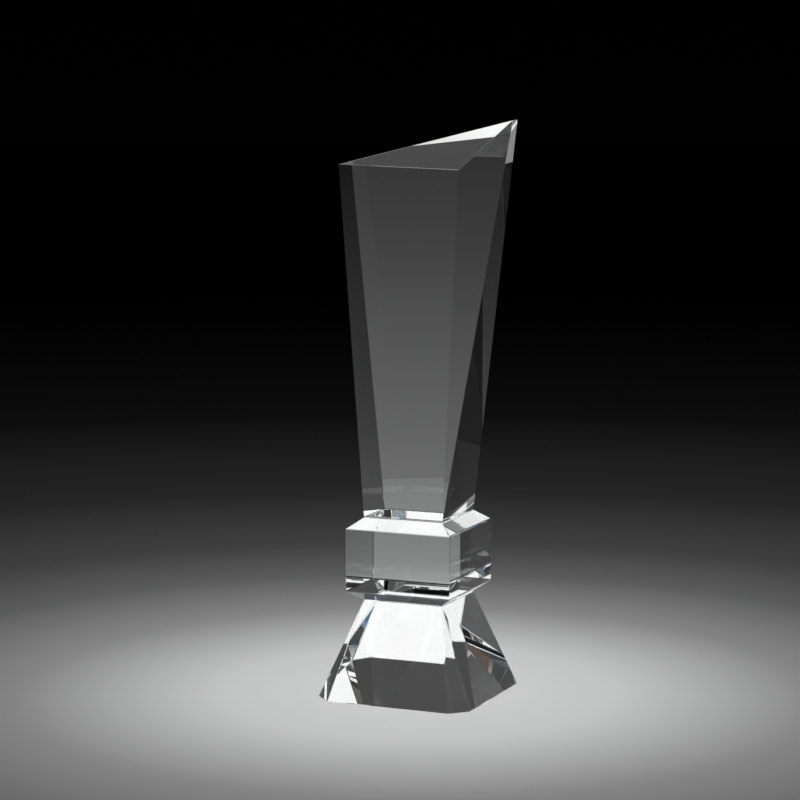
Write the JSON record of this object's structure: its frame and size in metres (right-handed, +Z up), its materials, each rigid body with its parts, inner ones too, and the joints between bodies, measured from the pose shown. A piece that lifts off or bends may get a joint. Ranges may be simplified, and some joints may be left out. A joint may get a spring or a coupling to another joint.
{
  "type": "crystal award",
  "caption": "Free-standing clear crystal award: a slanted wedge-cut column bonded on a square collar block and a flared base with cut corners.",
  "frame": {"origin": "centre of the base's underside, which is also the point under the middle of the column's foot", "axes": "+Z up, along the object's longest extent; +X to the right seen from the front, towards the column's high side; -Y out of the front faces"},
  "size_m": [0.0918, 0.0816, 0.2882],
  "materials": {
    "base_crystal": "clear optical crystal, flat facets and narrow edge facets polished bright",
    "collar_crystal": "clear optical crystal, flat facets and narrow edge facets polished bright",
    "column_crystal": "clear optical crystal, flat facets and narrow edge facets polished bright",
    "bond_adhesive": "clear cured adhesive, a thin even film"
  },
  "bodies": {
    "root": {"base": "base_crystal", "collar_block": "collar_crystal", "column": "column_crystal", "lower_bond_film": "bond_adhesive", "upper_bond_film": "bond_adhesive"}
  },
  "joints": []
}
